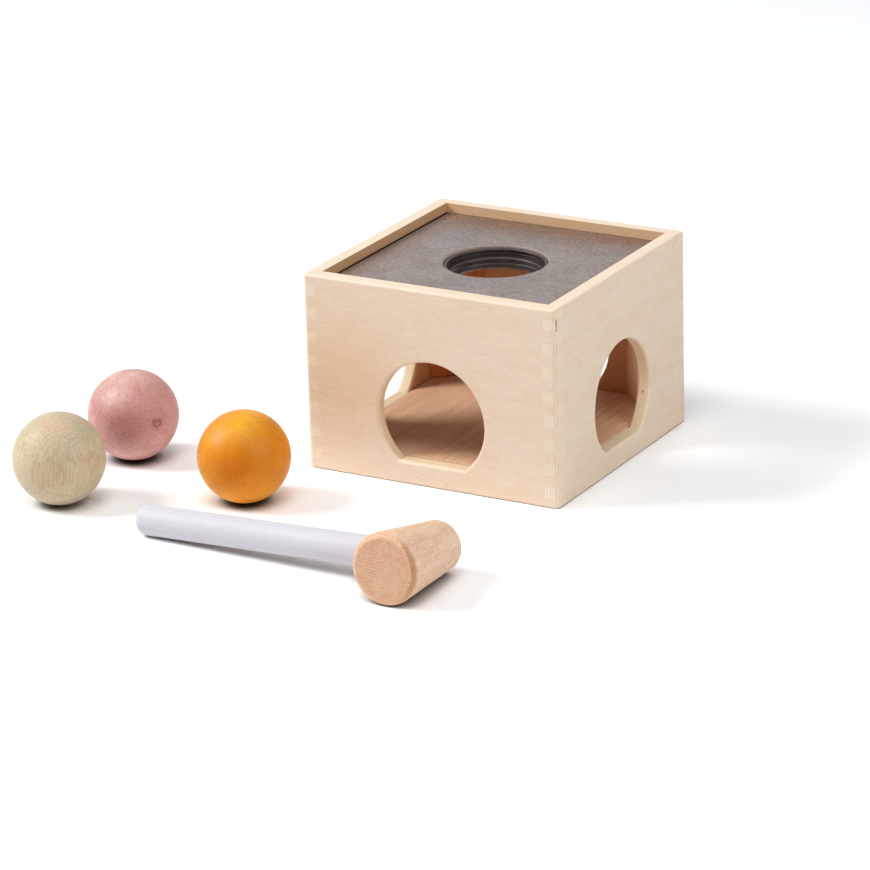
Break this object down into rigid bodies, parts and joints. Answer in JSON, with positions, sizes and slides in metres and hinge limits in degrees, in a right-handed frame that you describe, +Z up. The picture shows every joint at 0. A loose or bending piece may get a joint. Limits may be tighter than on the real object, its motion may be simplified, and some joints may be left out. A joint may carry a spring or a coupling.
{
  "type": "ball pounding box",
  "caption": "Wooden pounding toy: a finger-jointed box with a rubber-ringed ball hole on top and round openings in its walls, with loose stained balls and a small mallet.",
  "frame": {"origin": "centre of the box's underside, on the table", "axes": "+Z up, the front wall faces -Y, +X to the right as seen from the front"},
  "size_m": [0.2728, 0.3088, 0.11],
  "materials": {
    "pale_wood": "satin",
    "floor_wood": "matte",
    "post_wood": "matte",
    "screw_steel": "satin",
    "grey_paint": "satin",
    "black_rubber": "satin",
    "green_stain": "satin",
    "pink_stain": "satin",
    "orange_stain": "satin",
    "mallet_wood": "satin",
    "handle_paint": "satin"
  },
  "bodies": {
    "box": {"front_wall": "pale_wood", "back_wall": "pale_wood", "left_wall": "pale_wood", "right_wall": "pale_wood", "floor_board": "floor_wood", "corner_post_front_left": "post_wood", "corner_post_front_right": "post_wood", "corner_post_back_left": "post_wood", "corner_post_back_right": "post_wood", "floor_screw_front_left": "screw_steel", "floor_screw_front_right": "screw_steel", "floor_screw_back_left": "screw_steel", "floor_screw_back_right": "screw_steel", "top_panel": "grey_paint", "grip_ring": "black_rubber"},
    "green_ball": {"green_ball": "green_stain"},
    "pink_ball": {"pink_ball": "pink_stain"},
    "orange_ball": {"orange_ball": "orange_stain"},
    "mallet": {"mallet_head": "mallet_wood", "mallet_handle": "handle_paint"}
  },
  "joints": [
    {"name": "green_ball_roll", "type": "slide", "parent": "box", "child": "green_ball", "axis": [0, -1, 0], "range_m": [0, 0.157]},
    {"name": "pink_ball_roll", "type": "slide", "parent": "box", "child": "pink_ball", "axis": [0, 1, 0], "range_m": [0, 0.157]},
    {"name": "orange_ball_roll", "type": "slide", "parent": "box", "child": "orange_ball", "axis": [1, 0, 0], "range_m": [0, 0.157]},
    {"name": "mallet_swing", "type": "hinge", "parent": "box", "child": "mallet", "pos_m": [-0.10037, -0.19818, 0.005], "axis": [-0.0295, -0.9996, 0], "range_deg": [0, 75]}
  ]
}
